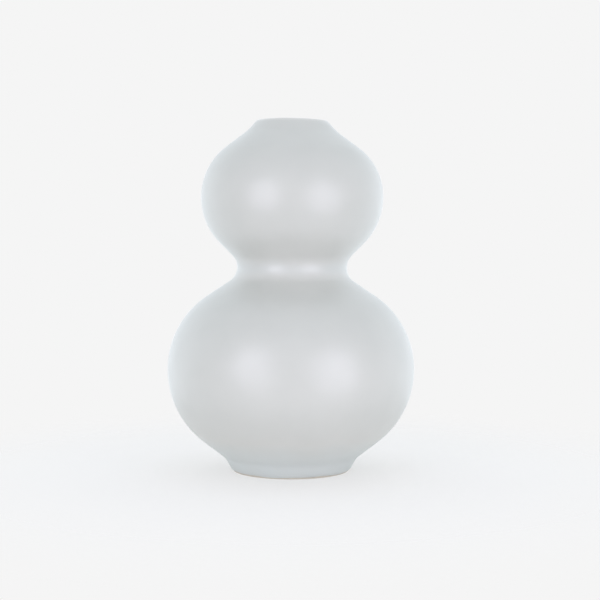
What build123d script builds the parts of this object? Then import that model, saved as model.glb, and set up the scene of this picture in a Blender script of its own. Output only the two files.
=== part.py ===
from build123d import *

import os
from math import atan2, cos, degrees, radians, tan
from typing import NamedTuple

# Double gourd vase of white porcelain under a satin glaze. The body is thrown in five sections,
# which are luted together with slip and then coated with glaze outside, inside and under the foot.
# Every half section is drawn with X as the distance from the vase's axis and Y as the height above
# the surface that the foot stands on. Sizes are in millimetres and degrees.

# Glazed outline, from the foot up to the lip. A run is the straight stretch beside a bulb.
overall_height = 180.0
foot_radius = 30.2  # where the foot's slanting side reaches the standing surface
foot_slant = 29.0  # lean of the foot's side from upright
foot_height = 7.1  # where the foot's side meets the run under the belly
foot_hollow_radius = 11.7  # rounding of that corner
foot_run = 14.3
belly_radius = 63.4
belly_height = 52.5  # height of the belly's widest circle
belly_run = 13.4
waist_radius = 28.2
waist_hollow_radius = 8.7
crown_run = 8.9
crown_radius = 46.7  # the crown is the smaller, upper bulb
crown_lower_height = 36.0  # from the waist to the crown's widest circle
crown_upper_height = 39.0  # from that circle to the lip
mouth_run = 13.6
collar_height = 5.4  # from the lip down to the corner with the run above the crown
collar_hollow_radius = 19.2  # rounding of that corner
collar_slant = 42.0  # lean of the collar's side from upright
lip_radius = 18.2  # where the collar's side reaches the top of the lip

# Clay wall, lip and foot
wall = 4.0
lip_width = 3.2  # glazed lip, from its outer edge to the throat
lip_edge_radius = 1.4
floor_thickness = 5.5
floor_curve_radius = 9.0  # inside corner between floor and wall
foot_ring_height = 5.2  # depth of the recess under the floor
foot_ring_width = 6.0  # at the standing surface
foot_edge_radius = 1.0

# Glaze and luting
glaze = 0.4
slip = 0.6
seam_bevel = 20.0  # tilt of the joint faces at a bulb's widest circle, which centres its two halves

# Sizes that follow from those above
crown_height = overall_height - crown_upper_height
waist_height = crown_height - crown_lower_height
throat_radius = lip_radius - lip_width
lip_rounding = min(lip_edge_radius, lip_width / 2)
throat_top = overall_height - lip_rounding
floor_height = foot_ring_height + floor_thickness
recess_radius = foot_radius - foot_ring_width
glaze_line = foot_edge_radius  # the foot's rounded edge is wiped clean before the firing


class Arc(NamedTuple):
    centre: Vector
    radius: float
    start: float
    end: float


def polar(distance, angle):
    """Vector of a length at an angle from the X direction."""
    return Vector(distance, 0).rotate(Axis.Z, angle)


def bulb_arc(widest, target, target_radius, run):
    """Arc of a bulb between its widest point, where it is upright, and the point where a straight
    run leaves it. The run, of the given length, ends in a corner or tangent to a hollow circle."""
    reach = target - widest
    radius = (reach.length**2 - target_radius**2 - run**2) / (2 * (target_radius - reach.X))
    centre = widest - Vector(radius, 0)
    heading = degrees(atan2(target.Y - centre.Y, target.X - centre.X))
    lean = degrees(atan2(run, radius + target_radius))
    if reach.Y > 0:
        return Arc(centre, radius, 0, heading - lean)
    return Arc(centre, radius, heading + lean, 0)


# Corners of the foot and the collar, and the circle that hollows the waist
foot_corner = Vector(foot_radius + foot_height * tan(radians(foot_slant)), foot_height)
collar_corner = Vector(
    lip_radius + collar_height * tan(radians(collar_slant)),
    overall_height - collar_height,
)
waist_hollow = Vector(waist_radius + waist_hollow_radius, waist_height)

# Arcs of the two bulbs, below and above their widest circles
belly_widest = Vector(belly_radius, belly_height)
crown_widest = Vector(crown_radius, crown_height)
low_belly = bulb_arc(belly_widest, foot_corner, 0, foot_run)
top_belly = bulb_arc(belly_widest, waist_hollow, waist_hollow_radius, belly_run)
low_crown = bulb_arc(crown_widest, waist_hollow, waist_hollow_radius, crown_run)
top_crown = bulb_arc(crown_widest, collar_corner, 0, mouth_run)


def draw_bulb(lower, upper, depth):
    """Draws a bulb at a depth under the glazed outline. Returns its low and high ends."""
    ends = []
    for arc in (lower, upper):
        edge = CenterArc(arc.centre, arc.radius - depth, arc.start, arc.end - arc.start)
        ends += [edge @ 0, edge @ 1]
    return ends[0], ends[-1]


def draw_body(depth):
    """Draws both bulbs and the waist at a depth under the glazed outline. Returns the two ends."""
    belly_low, belly_high = draw_bulb(low_belly, top_belly, depth)
    crown_low, crown_high = draw_bulb(low_crown, top_crown, depth)
    turn = low_crown.start - top_belly.end
    waist = CenterArc(waist_hollow, waist_hollow_radius + depth, 180 + top_belly.end, turn)
    Line(belly_high, waist @ 0)
    Line(waist @ 1, crown_low)
    return belly_low, crown_high


def draw_corner(start, corner, end, run_angle, side_angle, radius, depth):
    """Draws a run and a side that meet in a rounded corner, at a depth under the glazed outline.
    The corner is hollow where the run faces further up or down than the side does."""
    inward = (polar(1, run_angle) + polar(1, side_angle)) / (1 + cos(radians(run_angle - side_angle)))
    hollow = abs(run_angle) > abs(side_angle)
    FilletPolyline(start, corner - inward * depth, end, radius=radius + depth if hollow else radius - depth)


def draw_collar(crown_high, depth, height):
    """Draws the run above the crown and the collar up to a height. Returns the top end."""
    outward = (overall_height - height) * tan(radians(collar_slant))
    top = Vector(lip_radius + outward - depth / cos(radians(collar_slant)), height)
    draw_corner(crown_high, collar_corner, top, top_crown.end, collar_slant, collar_hollow_radius, depth)
    return top


def draw_foot(belly_low, depth):
    """Draws the run under the belly and the foot's side. Returns the end on the standing surface."""
    end = Vector(foot_radius - depth / cos(radians(foot_slant)), 0)
    draw_corner(belly_low, foot_corner, end, low_belly.start, -foot_slant, foot_hollow_radius, depth)
    return end


def cavity(coat):
    """Half section of the space inside the clay, less a coat of glaze."""
    depth = glaze + wall + coat
    floor = floor_height + coat
    with BuildSketch() as space:
        with BuildLine():
            belly_low, crown_high = draw_body(depth)
            top = draw_collar(crown_high, depth, overall_height)
            run_out = (belly_low.Y - floor) * tan(radians(low_belly.start))
            floor_corner = Vector(belly_low.X + run_out, floor)
            FilletPolyline(belly_low, floor_corner, (0, floor), radius=floor_curve_radius - coat)
            Polyline(top, (0, overall_height), (0, floor))
        make_face()
        with Locations((0, overall_height)):
            throat_width = throat_radius + glaze - coat
            Rectangle(throat_width, crown_upper_height, align=(Align.MIN, Align.MAX))
    return space.sketch


def recess(coat):
    """Half section of the hollow under the floor, inside the foot ring, less a coat of glaze."""
    with BuildSketch() as space:
        Rectangle(recess_radius - coat, foot_ring_height - coat, align=(Align.MIN, Align.MIN))
    return space.sketch


def vase_section(coat):
    """Half section of the vase: bare clay with no coat, or the glazed vase with a full one."""
    bare = glaze - coat
    top_height = overall_height - bare
    with BuildSketch() as section:
        with BuildLine():
            belly_low, crown_high = draw_body(bare)
            top = draw_collar(crown_high, bare, top_height)
            bottom = draw_foot(belly_low, bare)
            Polyline(top, (0, top_height), (0, 0), bottom)
        make_face()
        add(cavity(coat), mode=Mode.SUBTRACT)
        add(recess(coat), mode=Mode.SUBTRACT)
        fillet(section.vertices().group_by(Axis.Y)[-1], lip_rounding - bare)
        fillet(section.vertices().group_by(Axis.Y)[0], foot_edge_radius)
    return section.sketch


# Bands of slip where the sections are luted together, each long enough to cross the clay wall
to_wall_middle = Vector(glaze + wall / 2, 0)
with BuildSketch() as seam_bands:
    with Locations((0, foot_ring_height)):
        Rectangle(belly_radius, slip, align=(Align.MIN, Align.MAX))
    with Locations(belly_widest - to_wall_middle, crown_widest - to_wall_middle):
        Rectangle(2 * wall, slip, rotation=seam_bevel)
    with Locations(Vector(waist_radius, waist_height) - to_wall_middle):
        Rectangle(2 * wall, slip)

# Clay sections between the seams, and the slip in the seams
clay = vase_section(0)
with BuildSketch() as clay_sections:
    add(clay)
    add(seam_bands.sketch, mode=Mode.SUBTRACT)
with BuildSketch() as slip_rings:
    add(clay)
    add(seam_bands.sketch, mode=Mode.INTERSECT)

# Glaze coats. The outer one goes over the lip to the top of the throat, where the inner one begins,
# and the outer one and the one under the floor both stop at the glaze line.
with BuildSketch() as wiped_clean:
    Rectangle(belly_radius, glaze_line, align=(Align.MIN, Align.MIN))
with BuildSketch() as inside:
    Rectangle(belly_radius, throat_top, align=(Align.MIN, Align.MIN))
    add(cavity(0), mode=Mode.INTERSECT)
with BuildSketch() as outer_coat:
    add(vase_section(glaze))
    for taken in (clay, inside.sketch, recess(0), wiped_clean.sketch):
        add(taken, mode=Mode.SUBTRACT)
with BuildSketch() as inner_coat:
    add(inside.sketch)
    add(cavity(glaze), mode=Mode.SUBTRACT)
with BuildSketch() as base_coat:
    add(recess(0))
    for taken in (recess(glaze), wiped_clean.sketch):
        add(taken, mode=Mode.SUBTRACT)

# Names of the clay sections and of the slip between them, from the foot up
section_names = [
    "foot_ring",
    "belly_lower_half",
    "belly_upper_half",
    "crown_lower_half",
    "crown_upper_half",
]
slip_names = [
    "foot_seam_slip",
    "belly_seam_slip",
    "waist_seam_slip",
    "crown_seam_slip",
]

# Pieces, each turned about the vase's axis from its half section
half_sections = dict(zip(section_names, clay_sections.faces().sort_by(Axis.Y)))
half_sections.update(zip(slip_names, slip_rings.faces().sort_by(Axis.Y)))
half_sections["outer_glaze"] = outer_coat.face()
half_sections["inner_glaze"] = inner_coat.face()
half_sections["base_glaze"] = base_coat.face()

os.makedirs("parts", exist_ok=True)
for name, half_section in half_sections.items():
    with BuildPart() as piece:
        with BuildSketch(Plane.XZ):
            add(half_section)
        revolve(axis=Axis.Z)
    piece.part.label = name
    export_step(piece.part, f"parts/{name}.step")
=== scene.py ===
import bmesh
import bpy
import numpy as np
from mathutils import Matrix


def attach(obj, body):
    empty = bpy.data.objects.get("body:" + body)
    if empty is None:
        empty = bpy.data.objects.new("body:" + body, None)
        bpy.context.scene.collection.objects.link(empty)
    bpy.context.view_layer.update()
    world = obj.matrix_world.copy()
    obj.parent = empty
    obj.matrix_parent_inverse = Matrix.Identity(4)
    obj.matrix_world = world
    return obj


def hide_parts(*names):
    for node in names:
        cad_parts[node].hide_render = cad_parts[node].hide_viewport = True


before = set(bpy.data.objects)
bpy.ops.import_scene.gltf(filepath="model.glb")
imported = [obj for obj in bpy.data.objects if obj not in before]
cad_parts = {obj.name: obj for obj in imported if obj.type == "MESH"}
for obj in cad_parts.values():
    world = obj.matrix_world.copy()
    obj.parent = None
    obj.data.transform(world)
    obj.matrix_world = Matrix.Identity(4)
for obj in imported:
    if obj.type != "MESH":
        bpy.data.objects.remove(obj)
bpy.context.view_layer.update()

mm = 0.001
around = 192  # points round the vase in every turned piece
angles = np.linspace(0, 2 * np.pi, around, endpoint=False)
arcPoints = 90  # points along each arc of an outline
sharpCorner = np.radians(50)  # corners where one coat or section ends

# Outline of the glazed vase, in millimetres and degrees, with the values that the solids have
gourd = {
    "height": 180.0,
    "footRadius": 30.2,
    "footSlant": 29.0,
    "footHeight": 7.1,
    "footHollow": 11.7,
    "footRun": 14.3,
    "bellyRadius": 63.4,
    "bellyHeight": 52.5,
    "bellyRun": 13.4,
    "waistRadius": 28.2,
    "waistHeight": 105.0,
    "waistHollow": 8.7,
    "crownRun": 8.9,
    "crownRadius": 46.7,
    "crownHeight": 141.0,
    "mouthRun": 13.6,
    "collarHeight": 5.4,
    "collarHollow": 19.2,
    "collarSlant": 42.0,
    "lipRadius": 18.2,
    "throatRadius": 15.0,
    "lipEdge": 1.4,
    "wall": 4.0,
    "glaze": 0.4,
}


def polar(angle):
    return np.array([np.cos(np.radians(angle)), np.sin(np.radians(angle))])


# Points on a circle, evenly spaced from one angle to another
def arcLine(centre, radius, start, end):
    turns = np.radians(np.linspace(start, end, arcPoints))
    return centre + radius * np.stack([np.cos(turns), np.sin(turns)], axis=1)


# Circle of a bulb that stands upright at its widest point, and the angle where a straight run of the
# given length leaves it, to end at the target or at a tangent to a hollow circle round the target
def bulbArc(widest, target, targetRadius, run):
    reach = target - widest
    radius = (reach @ reach - targetRadius**2 - run**2) / (2 * (targetRadius - reach[0]))
    centre = widest - [radius, 0]
    heading = np.degrees(np.arctan2(target[1] - centre[1], target[0] - centre[0]))
    lean = np.degrees(np.arctan2(run, radius + targetRadius))
    return {"centre": centre, "radius": radius, "leaves": heading - np.sign(reach[1]) * lean}


# Arc that touches both sides of a corner
def roundedCorner(before, corner, after, radius):
    toBefore = (before - corner) / np.linalg.norm(before - corner)
    toAfter = (after - corner) / np.linalg.norm(after - corner)
    half = np.arccos(toBefore @ toAfter) / 2
    middle = (toBefore + toAfter) / np.linalg.norm(toBefore + toAfter)
    centre = corner + middle * radius / np.sin(half)
    first = corner + toBefore * radius / np.tan(half) - centre
    last = corner + toAfter * radius / np.tan(half) - centre
    start = np.degrees(np.arctan2(first[1], first[0]))
    end = np.degrees(np.arctan2(last[1], last[0]))
    return arcLine(centre, radius, start, start + (end - start + 180) % 360 - 180)


# Corner moved inwards so that the surfaces beside it, which face the two angles, both sink by the depth
def sunkCorner(corner, runAngle, sideAngle, depth):
    run, side = polar(runAngle), polar(sideAngle)
    return corner - depth * (run + side) / (1 + run @ side)


# The same line with its points a given step apart
def evenLine(points, step):
    lengths = np.concatenate([[0], np.cumsum(np.linalg.norm(np.diff(points, axis=0), axis=1))])
    at = np.linspace(0, lengths[-1], int(lengths[-1] / step) + 2)
    return np.stack([np.interp(at, lengths, points[:, 0]), np.interp(at, lengths, points[:, 1])], axis=1)


# Unit vectors to the right of a line's direction of travel
def rightOf(points):
    along = np.gradient(points, axis=0)
    along = along / np.linalg.norm(along, axis=1, keepdims=True)
    return np.stack([along[:, 1], -along[:, 0]], axis=1)


# 0 up to the first value, 1 from the second one on, and a smooth rise between, in either direction
def rise(values, first, second):
    t = np.clip((values - first) / (second - first), 0, 1)
    return t * t * (3 - 2 * t)


# 1 at a place, falling off smoothly on both sides of it
def bump(values, place, spread):
    return np.exp(-(((values - place) / spread) ** 2))


footLean = np.radians(gourd["footSlant"])
collarLean = np.radians(gourd["collarSlant"])
footCorner = np.array([gourd["footRadius"] + gourd["footHeight"] * np.tan(footLean), gourd["footHeight"]])
collarCorner = np.array([
    gourd["lipRadius"] + gourd["collarHeight"] * np.tan(collarLean),
    gourd["height"] - gourd["collarHeight"],
])
waistCentre = np.array([gourd["waistRadius"] + gourd["waistHollow"], gourd["waistHeight"]])
bellyWidest = np.array([gourd["bellyRadius"], gourd["bellyHeight"]])
crownWidest = np.array([gourd["crownRadius"], gourd["crownHeight"]])
lowBelly = bulbArc(bellyWidest, footCorner, 0, gourd["footRun"])
topBelly = bulbArc(bellyWidest, waistCentre, gourd["waistHollow"], gourd["bellyRun"])
lowCrown = bulbArc(crownWidest, waistCentre, gourd["waistHollow"], gourd["crownRun"])
topCrown = bulbArc(crownWidest, collarCorner, 0, gourd["mouthRun"])


# Lines of (radius, height) points at a depth under the glazed outline. First one arc of a bulb
def bulbLine(bulb, depth, start, end):
    return arcLine(bulb["centre"], bulb["radius"] - depth, start, end)


# Both bulbs, with the waist
def bulbsLine(depth):
    hollow = gourd["waistHollow"] + depth
    return np.concatenate([
        bulbLine(lowBelly, depth, lowBelly["leaves"], 0),
        bulbLine(topBelly, depth, 0, topBelly["leaves"]),
        arcLine(waistCentre, hollow, 180 + topBelly["leaves"], 180 + lowCrown["leaves"]),
        bulbLine(lowCrown, depth, lowCrown["leaves"], 0),
        bulbLine(topCrown, depth, 0, topCrown["leaves"]),
    ])


# The foot's leaning side at given heights
def footSide(depth, heights):
    radii = gourd["footRadius"] + heights * np.tan(footLean) - depth / np.cos(footLean)
    return np.stack([radii, heights], axis=1)


# The hollow corner between the foot's side and the run under the belly
def footHollow(depth):
    corner = sunkCorner(footCorner, lowBelly["leaves"], -gourd["footSlant"], depth)
    standing = footSide(depth, np.zeros(1))[0]
    return roundedCorner(standing, corner, bulbsLine(depth)[0], gourd["footHollow"] + depth)


# The hollow corner between the run above the crown and the collar
def collarHollow(depth):
    corner = sunkCorner(collarCorner, topCrown["leaves"], gourd["collarSlant"], depth)
    lip = corner + [-np.sin(collarLean), np.cos(collarLean)]
    return roundedCorner(bulbsLine(depth)[-1], corner, lip, gourd["collarHollow"] + depth)


# The lip, rounded off from the collar to the top and from there into the throat
def lipLine(depth):
    top = gourd["height"] - depth
    outer = np.array([gourd["lipRadius"] + depth * np.tan(collarLean) - depth / np.cos(collarLean), top])
    inner = np.array([gourd["throatRadius"] + depth, top])
    below = inner - [0, gourd["height"]]
    rounding = gourd["lipEdge"] - depth
    return np.concatenate([
        roundedCorner(collarHollow(depth)[-1], outer, inner, rounding),
        roundedCorner(outer, inner, below, rounding),
    ])


# How far the hand-made vase is from a true turned one, in millimetres. A turn is a wave's phase in radians
handwork = {
    "crownOffset": 0.65,  # the crown was luted a little off the belly's axis
    "offsetFrom": 92.0,
    "offsetTo": 108.0,
    "lipTilt": 0.0139,  # rise per millimetre to the left, so the lip is half a millimetre higher there
    "tiltFrom": 150.0,
    "lipWave": 0.10,
    "lipWaveTurn": 0.9,
    "oval": 0.10,
    "ovalTurn": 0.6,
    "threeSided": 0.05,
    "threeSidedTurn": 2.1,
    "twist": 60.0,  # height over which the three-sided form's phase grows by a radian
}


# Every point moves with its neighbours: the round turns slightly oval and three-sided, the upper bulb
# shifts sideways, and the lip tilts and waves
def handMade(points):
    x, y, z = points.T / mm
    angle = np.arctan2(y, x)
    radius = np.hypot(x, y)
    share = radius / gourd["bellyRadius"]
    oval = handwork["oval"] * np.cos(2 * angle + handwork["ovalTurn"])
    turn = handwork["threeSidedTurn"] + z / handwork["twist"]
    threeSided = handwork["threeSided"] * np.cos(3 * angle + turn)
    radius = radius + share * (oval + threeSided)
    shift = handwork["crownOffset"] * rise(z, handwork["offsetFrom"], handwork["offsetTo"])
    wave = share * handwork["lipWave"] * np.sin(3 * angle + handwork["lipWaveTurn"])
    z = z + (wave - handwork["lipTilt"] * x) * rise(z, handwork["tiltFrom"], gourd["height"])
    return np.stack([radius * np.cos(angle) + shift, radius * np.sin(angle), z], axis=1) * mm


# Four corners of every face between neighbouring rings of points
def ringFaces(index):
    turned = np.roll(index, -1, axis=1)
    return np.stack([index[:-1], turned[:-1], turned[1:], index[1:]], axis=2)


# Turned piece: the radius and height of each profile point, carried round the axis. A closed profile runs
# anticlockwise, with its outside on the right. One that is not closed starts and ends on the axis, where
# the rings become single points. The arrays have one column, or one for each angle round the vase.
def turnedPiece(name, radii, heights, poolAndPaintedLight, closed):
    radii = np.broadcast_to(radii, (len(poolAndPaintedLight), around))
    heights = np.broadcast_to(heights, (len(poolAndPaintedLight), around))
    points = np.stack([radii * np.cos(angles), radii * np.sin(angles), heights], axis=2).reshape(-1, 3)
    poolAndPaintedLight = np.repeat(poolAndPaintedLight, around)
    index = np.arange(len(poolAndPaintedLight)).reshape(-1, around)
    if closed:
        faces = ringFaces(np.concatenate([index, index[:1]])).reshape(-1, 4).tolist()
    else:
        points = points[around - 1 : -around + 1]  # one point is left at each pole
        poolAndPaintedLight = poolAndPaintedLight[around - 1 : -around + 1]
        quads = ringFaces(np.clip(index - around + 1, 0, len(points) - 1))
        faces = quads[1:-1].reshape(-1, 4).tolist()
        faces += quads[0, :, 1:].tolist() + quads[-1, :, :3].tolist()
    mesh = bpy.data.meshes.new(name)
    mesh.from_pydata(handMade(points * mm).tolist(), [], faces)
    mesh.attributes.new("glazeDepthAndPaintedLight", "FLOAT", "POINT").data.foreach_set("value", poolAndPaintedLight.astype(np.float32))
    mesh.polygons.foreach_set("use_smooth", np.ones(len(mesh.polygons), bool))
    mesh.set_sharp_from_angle(angle=sharpCorner)
    mesh.update()
    piece = bpy.data.objects.new(name, mesh)
    bpy.context.scene.collection.objects.link(piece)
    return piece


def addToVase(piece, node, material):
    piece.data.materials.clear()
    piece.data.materials.append(material)
    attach(piece, "root")
    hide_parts(node)


def linear(hexColour):
    srgb = np.array([int(hexColour[i : i + 2], 16) / 255 for i in (1, 3, 5)])
    rgb = np.where(srgb <= 0.04045, srgb / 12.92, ((srgb + 0.055) / 1.055) ** 2.4)
    return (*rgb.tolist(), 1.0)


# Adds a node. A setting or link is named by its socket, by the socket's number, or by the node's property
def addNode(tree, kind, settings=None, links=None):
    node = tree.nodes.new(kind)
    for name, value in (settings or {}).items():
        if isinstance(name, int) or name in node.inputs:
            node.inputs[name].default_value = value
        else:
            setattr(node, name, value)
    for name, socket in (links or {}).items():
        tree.links.new(socket, node.inputs[name])
    return node


# Noise on the object's own coordinates, with features of a size in millimetres
def addNoise(tree, size, detail, roughness=0.5):
    place = addNode(tree, "ShaderNodeTexCoord").outputs["Object"]
    settings = {"Scale": 1 / (size * mm), "Detail": detail, "Roughness": roughness}
    return addNode(tree, "ShaderNodeTexNoise", settings, {"Vector": place}).outputs["Fac"]


# Mix of two colours by a share. The first is a hex colour or comes from another node
def mixColours(tree, share, first, second):
    settings = {"data_type": "RGBA", 7: linear(second)}  # the colours are the inputs 6 and 7
    links = {0: share}
    if isinstance(first, str):
        settings[6] = linear(first)
    else:
        links[6] = first
    return addNode(tree, "ShaderNodeMix", settings, links).outputs[2]


def newMaterial(name):
    material = bpy.data.materials.new(name)
    material.use_nodes = True
    material.node_tree.nodes.clear()
    return material


# Satin glaze, sprayed over porcelain and fired: broad soft highlights from the fine crystals in its skin.
# Its tint follows the glaze depth, which also carries painted shade, a grey-green cast on the upward-facing
# shoulders and under the belly, and painted light, paler near the foot and on the waist
satinLook = {
    "thin": "#dce2e0",
    "body": "#d4d4ce",
    "thick": "#c5c6c0",
    "cloud": 16.0,  # millimetres across the faint clouds in the glaze
    "cloudLow": 0.3,  # nearly all of the clouds' noise lies between these two
    "cloudHigh": 0.7,
    "cloudShare": 0.10,
    "grain": 0.9,  # millimetres, fine crystals that make the surface satin, drawn coarse enough to show
    "grainHeight": 0.004,
    "ior": 1.95,  # near that of the zircon crystals that crowd the skin of an opaque satin glaze
    "roughLow": 0.36,
    "roughHigh": 0.40,
}
satinGlaze = newMaterial("satinGlaze")
tree = satinGlaze.node_tree
# glaze depth attribute, which also carries painted shade and painted light
depth = addNode(tree, "ShaderNodeAttribute", {"attribute_name": "glazeDepthAndPaintedLight"}).outputs["Fac"]
cloud = addNoise(tree, satinLook["cloud"], 3.0)
cloudShift = addNode(
    tree,
    "ShaderNodeMapRange",
    {
        "From Min": satinLook["cloudLow"],
        "From Max": satinLook["cloudHigh"],
        "To Min": -satinLook["cloudShare"] / 2,
        "To Max": satinLook["cloudShare"] / 2,
    },
    {"Value": cloud},
).outputs["Result"]
amount = addNode(tree, "ShaderNodeMath", {"operation": "ADD", "use_clamp": True}, {0: depth, 1: cloudShift})
tint = addNode(tree, "ShaderNodeValToRGB", links={"Fac": amount.outputs["Value"]})
stops = tint.color_ramp.elements
stops.new(0.5)
for stop, depthName in zip(stops, ("thin", "body", "thick")):
    stop.color = linear(satinLook[depthName])
rough = addNode(
    tree,
    "ShaderNodeMapRange",
    {
        "From Min": satinLook["cloudLow"],
        "From Max": satinLook["cloudHigh"],
        "To Min": satinLook["roughLow"],
        "To Max": satinLook["roughHigh"],
    },
    {"Value": cloud},
).outputs["Result"]
grain = addNoise(tree, satinLook["grain"], 2.0)
relief = addNode(
    tree,
    "ShaderNodeBump",
    {"Strength": 1.0, "Distance": satinLook["grainHeight"] * mm},
    {"Height": grain},
).outputs["Normal"]
shader = addNode(
    tree,
    "ShaderNodeBsdfPrincipled",
    {"IOR": satinLook["ior"]},
    {"Base Color": tint.outputs["Color"], "Roughness": rough, "Normal": relief},
)
addNode(tree, "ShaderNodeOutputMaterial", links={"Surface": shader.outputs["BSDF"]})

# Biscuit porcelain, fired without glaze: dull, fine grained and creamy, toasted where the glaze ends
biscuitLook = {
    "body": "#d9d3c7",
    "toast": "#d3c9b9",
    "grain": 0.5,  # millimetres
    "grainHeight": 0.01,
    "toastHeight": 1.0,  # millimetres above the standing surface
    "toastShare": 0.7,
    "roughness": 0.75,
}
biscuitPorcelain = newMaterial("biscuitPorcelain")
tree = biscuitPorcelain.node_tree
place = addNode(tree, "ShaderNodeTexCoord").outputs["Object"]
height = addNode(tree, "ShaderNodeSeparateXYZ", links={0: place}).outputs["Z"]
grain = addNoise(tree, biscuitLook["grain"], 4.0, 0.6)
toast = addNode(
    tree,
    "ShaderNodeMapRange",
    {"From Max": biscuitLook["toastHeight"] * mm, "To Max": biscuitLook["toastShare"]},
    {"Value": height},
).outputs["Result"]
toast = addNode(tree, "ShaderNodeMath", {"operation": "MULTIPLY"}, {0: toast, 1: grain}).outputs["Value"]
colour = mixColours(tree, toast, biscuitLook["body"], biscuitLook["toast"])
relief = addNode(
    tree,
    "ShaderNodeBump",
    {"Strength": 1.0, "Distance": biscuitLook["grainHeight"] * mm},
    {"Height": grain},
).outputs["Normal"]
shader = addNode(
    tree,
    "ShaderNodeBsdfPrincipled",
    {"Roughness": biscuitLook["roughness"]},
    {"Base Color": colour, "Normal": relief},
)
addNode(tree, "ShaderNodeOutputMaterial", links={"Surface": shader.outputs["BSDF"]})

# Luting slip, the same porcelain let down with water: finer, slightly greyer, with the brush's streaks
slipLook = {
    "body": "#cfcac0",
    "streak": "#c3bdb1",
    "grain": 1.5,  # millimetres
    "roughness": 0.8,
}
lutingSlip = newMaterial("lutingSlip")
tree = lutingSlip.node_tree
streak = addNoise(tree, slipLook["grain"], 2.0)
colour = mixColours(tree, streak, slipLook["body"], slipLook["streak"])
shader = addNode(
    tree,
    "ShaderNodeBsdfPrincipled",
    {"Roughness": slipLook["roughness"]},
    {"Base Color": colour},
)
addNode(tree, "ShaderNodeOutputMaterial", links={"Surface": shader.outputs["BSDF"]})
print("materials ready")

# Outer glaze: up the outside from the wiped line on the foot, over the lip, and back down on the clay.
# Sizes of this and the next three pieces are in millimetres
outerCoat = {
    "line": 1.0,  # height of the glaze's lower edge
    "bead": 0.8,  # height over which that edge rounds off
    "beadPoints": 9,
    "lineWave": 0.16,  # five waves round the foot, with eleven smaller ones in them
    "smallWaves": 0.6,  # the smaller ones' share of that
    "waveTop": 6.0,  # height where the waves have died out
    "step": 1.0,
    "lipStep": 0.25,
    "clayStep": 2.0,
}
edge = np.linspace(0, 1, outerCoat["beadPoints"])
beadDepth = gourd["glaze"] * (1 - np.sqrt(1 - (1 - edge) ** 2))  # a quarter ellipse
bead = footSide(beadDepth, outerCoat["line"] + outerCoat["bead"] * edge)
side = np.concatenate([bead[-1:], footHollow(0), bulbsLine(0), collarHollow(0), lipLine(0)[:1]])
clayStart = footSide(gourd["glaze"], np.array([outerCoat["line"]]))
claySide = np.concatenate([
    clayStart,
    footHollow(gourd["glaze"]),
    bulbsLine(gourd["glaze"]),
    collarHollow(gourd["glaze"]),
    lipLine(gourd["glaze"])[:1],
])
profile = np.concatenate([
    bead[:-1],
    evenLine(side, outerCoat["step"])[:-1],
    evenLine(lipLine(0), outerCoat["lipStep"]),
    evenLine(lipLine(gourd["glaze"]), outerCoat["lipStep"])[::-1],
    evenLine(claySide, outerCoat["clayStep"])[::-1][1:-1],
])

# How thick the glaze lies, from 0 where it is thin to 1 where it is thick, and what changes that. Some
# changes are painted shade and painted light
# rather than thickness: darker on upward faces and under the belly, paler near the foot and on the waist
poolingAndPaintedLight = {
    "upright": 0.55,
    "paintedShadeFacingUp": {"change": 0.42, "from": -0.1, "to": 0.9},  # painted shade: darker on upward-facing surfaces, such as the shoulders
    "paintedShadeUnderBelly": {"change": 0.16, "at": 32.0, "spread": 10.0},  # painted shade, darker on the lower belly
    "paintedLightNearFoot": {"change": -0.45, "from": 26.0, "to": 7.0},  # painted light, paler towards the foot
    "paintedLightAtWaist": {"change": -0.28, "at": 101.5, "spread": 6.0},  # painted highlight, paler on the ring of the waist
    "onLip": {"change": -0.50, "from": 178.4, "to": 180.0},  # runs off the lip's edge
}


# A change of depth that comes in between two values
def changeFrom(part, values):
    return part["change"] * rise(values, part["from"], part["to"])


# A change of depth that is greatest at one value
def changeAt(part, values):
    return part["change"] * bump(values, part["at"], part["spread"])


heights = profile[:, 1]
# glaze depth round the profile, with painted shade on upward faces and under the belly and painted light
# near the foot and on the waist
poolAndPaintedLight = (
    poolingAndPaintedLight["upright"]
    + changeFrom(poolingAndPaintedLight["paintedShadeFacingUp"], rightOf(profile)[:, 1])
    + changeAt(poolingAndPaintedLight["paintedShadeUnderBelly"], heights)
    + changeFrom(poolingAndPaintedLight["paintedLightNearFoot"], heights)
    + changeAt(poolingAndPaintedLight["paintedLightAtWaist"], heights)
    + changeFrom(poolingAndPaintedLight["onLip"], heights)
)
wave = np.sin(5 * angles + 1.0) + outerCoat["smallWaves"] * np.sin(11 * angles + 0.4)
wave = outerCoat["lineWave"] * wave * rise(heights, outerCoat["waveTop"], outerCoat["line"])[:, None]
outerGlaze = turnedPiece(
    "outerGlaze",
    profile[:, :1] + wave * np.tan(footLean),
    profile[:, 1:] + wave,
    poolAndPaintedLight,
    closed=True,
)
addToVase(outerGlaze, "outer_glaze", satinGlaze)

# Inner glaze: over the floor and up the inside to the throat, with the ridges that the fingers left
innerCoat = {
    "floor": 10.7,
    "floorCurve": 9.0,
    "throatCurve": 3.0,
    "ridgeHeight": 0.22,
    "ridgePitch": 5.5,
    "ridgesFrom": (3.0, 14.0),  # way from the floor's middle over which the ridges come in
    "ridgesTo": (8.0, 22.0),  # the same from the throat's top
    "depth": 0.35,
    "onFloor": {"change": 0.5, "from": 40.0, "to": 11.0},  # pooled there
    "step": 1.1,
    "clayStep": 3.0,
}


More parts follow.
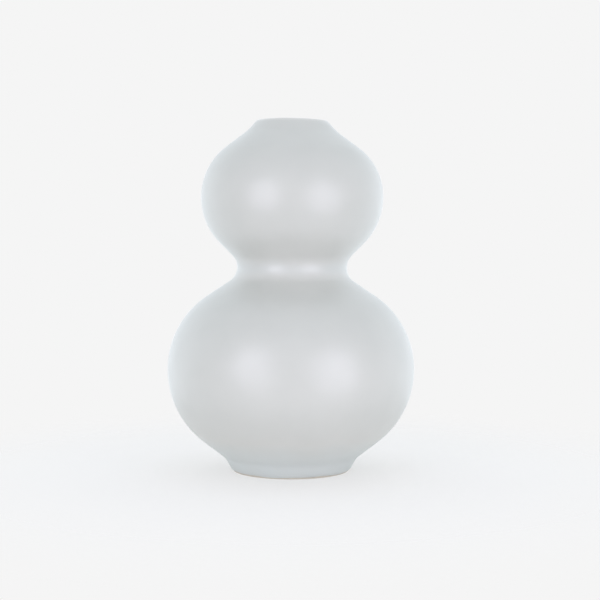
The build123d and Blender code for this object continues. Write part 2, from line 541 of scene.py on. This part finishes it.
# Inside line from the floor's middle to the top of the throat, less a coat of glaze
def insideLine(coat):
    deep = gourd["glaze"] + gourd["wall"] + coat
    floor = innerCoat["floor"] + coat
    bulbs = bulbsLine(deep)
    runOut = (bulbs[0, 1] - floor) * np.tan(np.radians(lowBelly["leaves"]))
    floorCorner = np.array([bulbs[0, 0] + runOut, floor])
    throat = gourd["throatRadius"] + gourd["glaze"] - coat
    down = (deep / np.cos(collarLean) + throat - gourd["lipRadius"]) / np.tan(collarLean)
    throatFoot = np.array([throat, gourd["height"] - down])
    throatTop = np.array([throat, gourd["height"] - gourd["lipEdge"]])
    hollow = collarHollow(deep)
    return np.concatenate([
        [[0, floor]],
        roundedCorner(np.array([0, floor]), floorCorner, bulbs[0], innerCoat["floorCurve"] - coat),
        bulbs,
        hollow,
        roundedCorner(hollow[-1], throatFoot, throatTop, innerCoat["throatCurve"]),
        [throatTop],
    ])


clay = evenLine(insideLine(0), innerCoat["clayStep"])
shown = evenLine(insideLine(gourd["glaze"]), innerCoat["step"])
travel = np.concatenate([[0], np.cumsum(np.linalg.norm(np.diff(shown, axis=0), axis=1))])[:, None]
ends = rise(travel, *innerCoat["ridgesFrom"]) * rise(travel[-1] - travel, *innerCoat["ridgesTo"])
winding = np.cos(2 * np.pi * travel / innerCoat["ridgePitch"] + angles)
ridge = innerCoat["ridgeHeight"] * ends * (0.5 + 0.5 * winding)
inward = -rightOf(shown)
ridge = np.concatenate([np.zeros((len(clay), around)), ridge[::-1]])
inward = np.concatenate([np.zeros((len(clay), 2)), inward[::-1]])
profile = np.concatenate([clay, shown[::-1]])
innerGlaze = turnedPiece(
    "innerGlaze",
    profile[:, :1] + ridge * inward[:, :1],
    profile[:, 1:] + ridge * inward[:, 1:],
    innerCoat["depth"] + changeFrom(innerCoat["onFloor"], profile[:, 1]),
    closed=False,
)
addToVase(innerGlaze, "inner_glaze", satinGlaze)

# Base glaze: the recess inside the foot ring, with the corner filled and the turning tool's faint spiral
baseCoat = {
    "roof": 5.2,
    "radius": 24.2,
    "corner": 2.4,
    "line": 1.0,
    "spiralHeight": 0.06,
    "spiralPitch": 2.2,
    "spiralFrom": (1.0, 5.0),  # radii between which the spiral comes in
    "spiralTo": (21.5, 19.0),  # and those between which it ends
    "depth": 0.35,
    "inCorner": {"change": 0.5, "at": 23.0, "spread": 2.5},  # gathered there
    "step": 0.5,
    "clayStep": 2.0,
}
wallRadius = baseCoat["radius"] - gourd["glaze"]
roof = baseCoat["roof"] - gourd["glaze"]
roofMiddle, roofCorner, wallFoot = np.array([[0, roof], [wallRadius, roof], [wallRadius, 0]])
rimHeight = baseCoat["line"] + gourd["glaze"]
shown = np.concatenate([
    [roofMiddle],
    roundedCorner(roofMiddle, roofCorner, wallFoot, baseCoat["corner"]),
    [[wallRadius, rimHeight]],
])
rim = arcLine(np.array([baseCoat["radius"], rimHeight]), gourd["glaze"], 180, 270)
rim = rim[::10]  # so small that a few of its points will do
clay = np.array([[baseCoat["radius"], baseCoat["roof"]], [0, baseCoat["roof"]]])
shown = evenLine(shown, baseCoat["step"])
spiral = np.cos(2 * np.pi * shown[:, :1] / baseCoat["spiralPitch"] - angles)
flat = rise(shown[:, :1], *baseCoat["spiralFrom"]) * rise(shown[:, :1], *baseCoat["spiralTo"])
profile = np.concatenate([shown, rim[1:], evenLine(clay, baseCoat["clayStep"])])
spiral = np.concatenate([
    baseCoat["spiralHeight"] * flat * spiral,
    np.zeros((len(profile) - len(shown), around)),
])
baseGlaze = turnedPiece(
    "baseGlaze",
    profile[:, :1],
    profile[:, 1:] + spiral,
    baseCoat["depth"] + changeAt(baseCoat["inCorner"], profile[:, 0]),
    closed=False,
)
addToVase(baseGlaze, "base_glaze", satinGlaze)

# Foot ring: bare clay from the seam down to the standing edge, with the grooves of the turning tool
footLook = {
    "top": 4.6,
    "inside": 24.2,
    "edge": 1.0,
    "grooveDepth": 0.03,
    "groovePitch": 0.7,
    "grooveTop": 0.3,  # height where the grooves end
    "step": 0.12,
    "topStep": 1.0,
}
insideTop = np.array([footLook["inside"], footLook["top"]])
insideFoot = np.array([footLook["inside"], 0])
outsideFoot, outsideTop = footSide(gourd["glaze"], np.array([0, footLook["top"]]))
bottom = np.concatenate([
    roundedCorner(insideTop, insideFoot, outsideFoot, footLook["edge"]),
    roundedCorner(insideFoot, outsideFoot, outsideTop, footLook["edge"]),
])
profile = np.concatenate([
    evenLine(bottom, footLook["step"]),
    evenLine(np.array([outsideTop, insideTop]), footLook["topStep"]),
])
standing = rise(profile[:, 1], footLook["grooveTop"], 0)
groove = 0.5 - 0.5 * np.cos(2 * np.pi * profile[:, 0] / footLook["groovePitch"])
footRing = turnedPiece(
    "footRing",
    profile[:, :1],
    profile[:, 1:] + (footLook["grooveDepth"] * standing * groove)[:, None],
    np.zeros(len(profile)),
    closed=True,
)
addToVase(footRing, "foot_ring", biscuitPorcelain)
print("glaze and foot ready")

# Clay and slip between the coats: the solids' own meshes, merged, with the glaze's hand-made shifts
inTheWall = {
    "bellyLowerHalf": ("belly_lower_half", "biscuit_porcelain", biscuitPorcelain),
    "bellyUpperHalf": ("belly_upper_half", "biscuit_porcelain", biscuitPorcelain),
    "crownLowerHalf": ("crown_lower_half", "biscuit_porcelain", biscuitPorcelain),
    "crownUpperHalf": ("crown_upper_half", "biscuit_porcelain", biscuitPorcelain),
    "footSeamSlip": ("foot_seam_slip", "luting_slip", lutingSlip),
    "bellySeamSlip": ("belly_seam_slip", "luting_slip", lutingSlip),
    "waistSeamSlip": ("waist_seam_slip", "luting_slip", lutingSlip),
    "crownSeamSlip": ("crown_seam_slip", "luting_slip", lutingSlip),
}
doubled = 0.002 * mm  # points closer together than this become one
for name, (node, slot, material) in inTheWall.items():
    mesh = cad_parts[node].data.copy()
    mesh.name = name
    merged = bmesh.new()
    merged.from_mesh(mesh)
    bmesh.ops.remove_doubles(merged, verts=merged.verts, dist=doubled)
    merged.to_mesh(mesh)
    merged.free()
    points = np.empty(len(mesh.vertices) * 3)
    mesh.vertices.foreach_get("co", points)
    mesh.vertices.foreach_set("co", handMade(points.reshape(-1, 3)).ravel())
    mesh.update()
    piece = bpy.data.objects.new(name, mesh)
    bpy.context.scene.collection.objects.link(piece)
    addToVase(piece, node, material)
print("wall ready")

# Floor and lights, in metres. The floor is a round sheet that fades out into the background's pale grey
studio = {
    "background": "#f5f5f5",
    "floor": "#f4f2ef",
    "floorHole": 0.030,  # open under the foot, so that the underside has light when seen from below
    "floorRadius": 0.34,
    "floorRings": 24,
    "shadowKept": 0.45,
    "mirrored": 0.2,  # share of the plain background in reflections
    "fadeFrom": 0.08,
    "fadeTo": 0.25,
    "front": "#8c8d8f",  # the darker room behind the camera
    "back": "#ecf6ff",  # the lit sweep behind the vase
    "sweepFrom": -0.4,  # Y of the direction where the sweep's light begins, and where it is full
    "sweepTo": 1.0,
    "zenith": "#bdc2c8",
    "below": "#b1b6ba",
    "skyStrength": 1.81,
}
floorRings = np.geomspace(studio["floorHole"], studio["floorRadius"], studio["floorRings"])[:, None]
floorX = floorRings * np.cos(angles)
floorY = floorRings * np.sin(angles)
floorPoints = np.stack([floorX, floorY, np.zeros_like(floorX)], axis=2).reshape(-1, 3)
floorFaces = ringFaces(np.arange(len(floorPoints)).reshape(-1, around)[::-1]).reshape(-1, 4)
floorMesh = bpy.data.meshes.new("studioFloor")
floorMesh.from_pydata(floorPoints.tolist(), [], floorFaces.tolist())
studioFloor = bpy.data.objects.new("studioFloor", floorMesh)
bpy.context.scene.collection.objects.link(studioFloor)


# How much of the background a ray shows: all of it straight to the camera or through glass, and part of it
# in a reflection, where the studio's light shows too
def backgroundShare(tree):
    ray = addNode(tree, "ShaderNodeLightPath").outputs
    straight = addNode(
        tree,
        "ShaderNodeMath",
        {"operation": "MAXIMUM"},
        {0: ray["Is Camera Ray"], 1: ray["Is Transmission Ray"]},
    ).outputs["Value"]
    share = addNode(
        tree,
        "ShaderNodeMath",
        {"operation": "MULTIPLY_ADD", 1: studio["mirrored"]},
        {0: ray["Is Glossy Ray"], 2: straight},
    )
    return share.outputs["Value"]


paperFloor = newMaterial("paperFloor")
tree = paperFloor.node_tree
place = addNode(tree, "ShaderNodeTexCoord").outputs["Object"]
distance = addNode(tree, "ShaderNodeVectorMath", {"operation": "LENGTH"}, {0: place}).outputs["Value"]
fade = addNode(
    tree,
    "ShaderNodeMapRange",
    {"interpolation_type": "SMOOTHSTEP", "From Min": studio["fadeFrom"], "From Max": studio["fadeTo"]},
    {"Value": distance},
).outputs["Result"]
share = addNode(
    tree,
    "ShaderNodeMath",
    {"operation": "MULTIPLY", 1: 1 - studio["shadowKept"]},
    {0: backgroundShare(tree)},
)
lit = addNode(tree, "ShaderNodeBsdfDiffuse", {"Color": linear(studio["floor"])})
plain = addNode(tree, "ShaderNodeEmission", {"Color": linear(studio["background"])})
near = addNode(
    tree,
    "ShaderNodeMixShader",
    links={0: share.outputs["Value"], 1: lit.outputs["BSDF"], 2: plain.outputs["Emission"]},
)
away = addNode(tree, "ShaderNodeBsdfTransparent")
fromBelow = addNode(tree, "ShaderNodeNewGeometry").outputs["Backfacing"]
clear = addNode(tree, "ShaderNodeMath", {"operation": "MAXIMUM"}, {0: fade, 1: fromBelow})
mixed = addNode(
    tree,
    "ShaderNodeMixShader",
    links={0: clear.outputs["Value"], 1: near.outputs["Shader"], 2: away.outputs["BSDF"]},
)
addNode(tree, "ShaderNodeOutputMaterial", links={"Surface": mixed.outputs["Shader"]})
floorMesh.materials.append(paperFloor)

world = bpy.data.worlds.new("studioWorld")
bpy.context.scene.world = world
world.use_nodes = True
tree = world.node_tree
tree.nodes.clear()
direction = addNode(tree, "ShaderNodeTexCoord").outputs["Generated"]
axes = addNode(tree, "ShaderNodeSeparateXYZ", links={0: direction}).outputs
behind = addNode(
    tree,
    "ShaderNodeMapRange",
    {"interpolation_type": "SMOOTHSTEP", "From Min": studio["sweepFrom"], "From Max": studio["sweepTo"]},
    {"Value": axes["Y"]},
).outputs["Result"]
sides = mixColours(tree, behind, studio["front"], studio["back"])
above = mixColours(tree, axes["Z"], sides, studio["zenith"])
down = addNode(
    tree,
    "ShaderNodeMath",
    {"operation": "MULTIPLY", "use_clamp": True, 1: -1.0},
    {0: axes["Z"]},
).outputs["Value"]
sky = mixColours(tree, down, above, studio["below"])
lighting = addNode(tree, "ShaderNodeBackground", {"Strength": studio["skyStrength"]}, {"Color": sky})
backdrop = addNode(tree, "ShaderNodeBackground", {"Color": linear(studio["background"])})
mixed = addNode(
    tree,
    "ShaderNodeMixShader",
    links={0: backgroundShare(tree), 1: lighting.outputs["Background"], 2: backdrop.outputs["Background"]},
)
addNode(tree, "ShaderNodeOutputWorld", links={"Surface": mixed.outputs["Shader"]})

# Two soft boxes, left and right of the camera, in metres and watts. Azimuth is counted in degrees from the
# camera's side, to the right
boxes = {
    "colour": "#f3f0ff",
    "distance": 0.75,
    "tall": 0.68,
    "left": {"azimuth": -33.8, "height": 0.19, "width": 0.45, "power": 1.52},
    "right": {"azimuth": 39.6, "height": 0.12, "width": 0.54, "power": 1.68},
}
for name in ("left", "right"):
    box = boxes[name]
    light = bpy.data.lights.new(name + "SoftBox", "AREA")
    light.shape = "ELLIPSE"
    light.size = box["width"]
    light.size_y = boxes["tall"]
    light.energy = box["power"]
    light.color = linear(boxes["colour"])[:3]
    softBox = bpy.data.objects.new(name + "SoftBox", light)
    turn = np.radians(box["azimuth"])
    softBox.location = (boxes["distance"] * np.sin(turn), -boxes["distance"] * np.cos(turn), box["height"])
    softBox.rotation_euler = (np.pi / 2, 0, turn)
    softBox.visible_camera = False
    bpy.context.scene.collection.objects.link(softBox)

# Camera at the photograph's place, in metres: fitted to the vase's outline, looking slightly down
photoView = {
    "distance": 0.680,
    "right": 0.00464,
    "height": 0.1186,
    "down": 2.57,  # degrees
    "lens": 79.1,  # millimetres, as is the sensor
    "sensor": 36.0,
    "nearest": 0.01,
}
camera = bpy.data.cameras.new("photoCamera")
camera.lens = photoView["lens"]
camera.sensor_width = photoView["sensor"]
camera.clip_start = photoView["nearest"]
cameraObject = bpy.data.objects.new("photoCamera", camera)
cameraObject.location = (photoView["right"], -photoView["distance"], photoView["height"])
cameraObject.rotation_euler = (np.radians(90 - photoView["down"]), 0, 0)
bpy.context.scene.collection.objects.link(cameraObject)
bpy.context.scene.camera = cameraObject
bpy.context.scene.view_settings.view_transform = "Standard"
print("studio ready")
